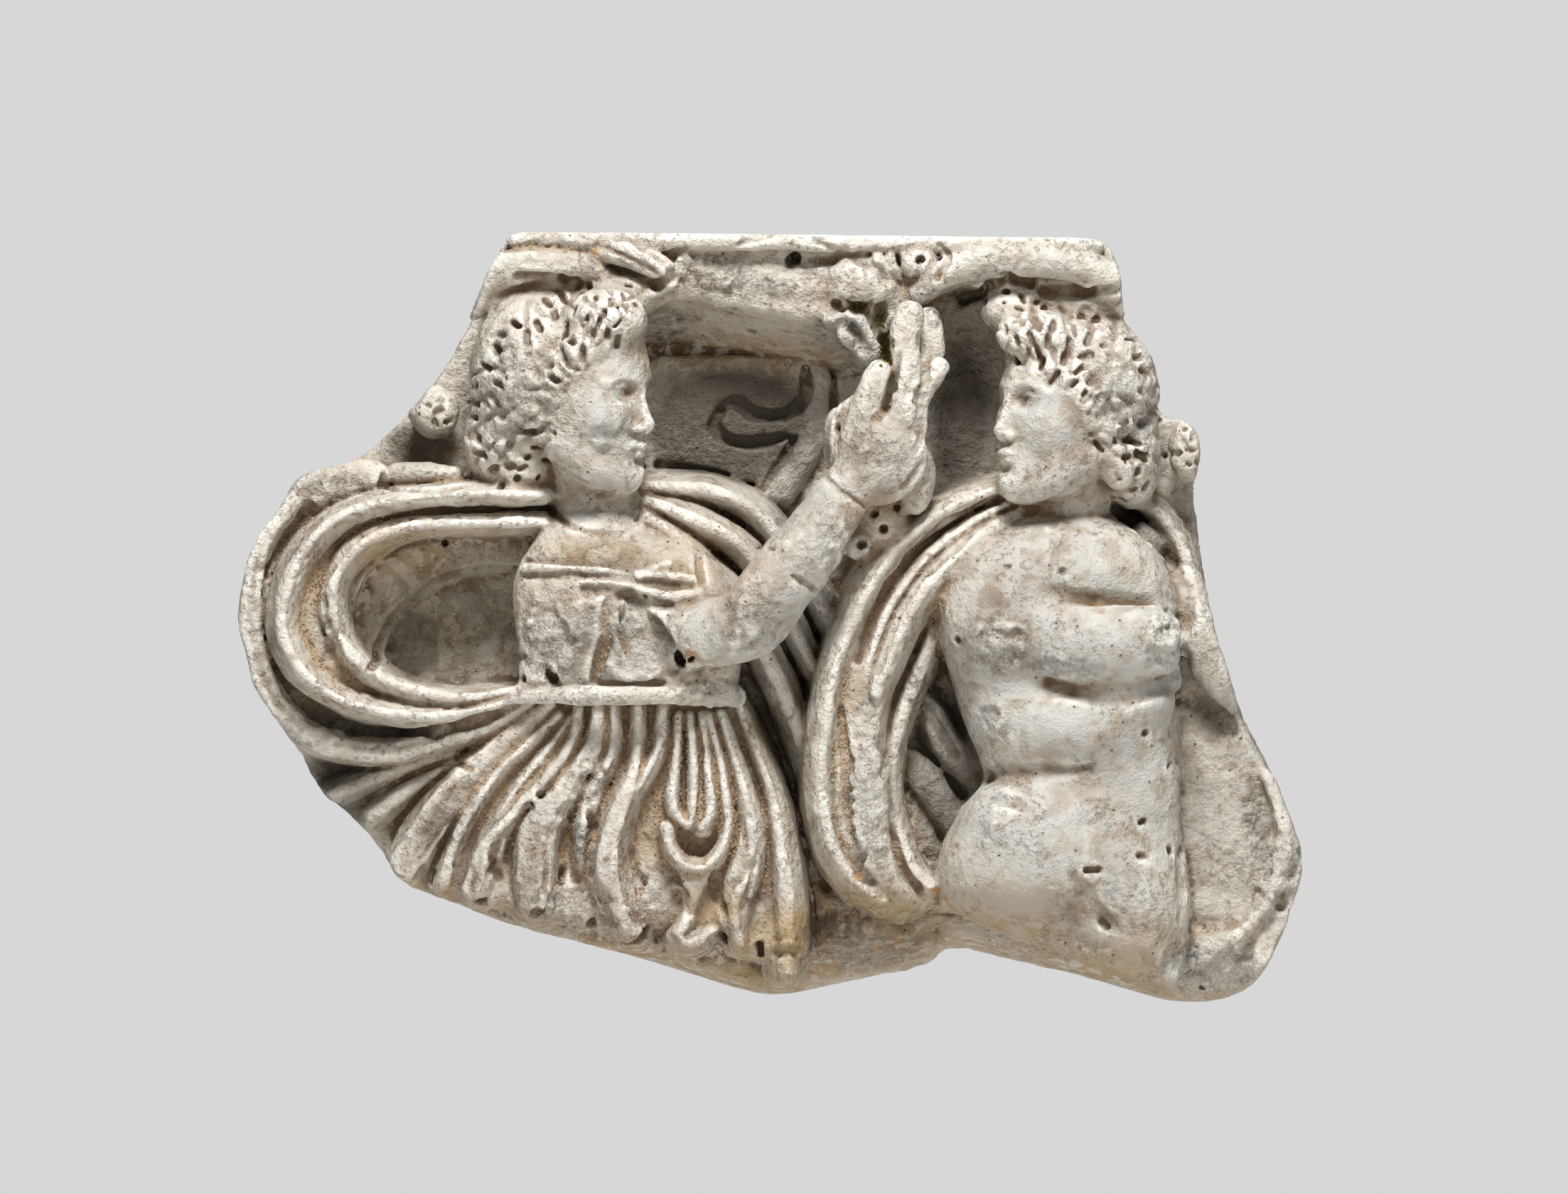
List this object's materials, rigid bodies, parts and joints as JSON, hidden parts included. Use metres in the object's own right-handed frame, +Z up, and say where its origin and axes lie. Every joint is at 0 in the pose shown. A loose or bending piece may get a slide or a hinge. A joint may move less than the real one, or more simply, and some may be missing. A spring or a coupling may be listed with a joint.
{
  "type": "marble relief fragment",
  "caption": "Fragment of a marble high relief with a dancing figure in a billowing cloak and a half figure beside a drapery swag, to be fixed flat against a wall.",
  "frame": {"origin": "centre of the flat back face", "axes": "+X to the viewer's right along the relief, +Y into the wall, +Z up"},
  "size_m": [0.6365, 0.1557, 0.4614],
  "materials": {
    "marble": "weathered"
  },
  "bodies": {
    "root": {"relief_block": "marble"}
  },
  "joints": []
}
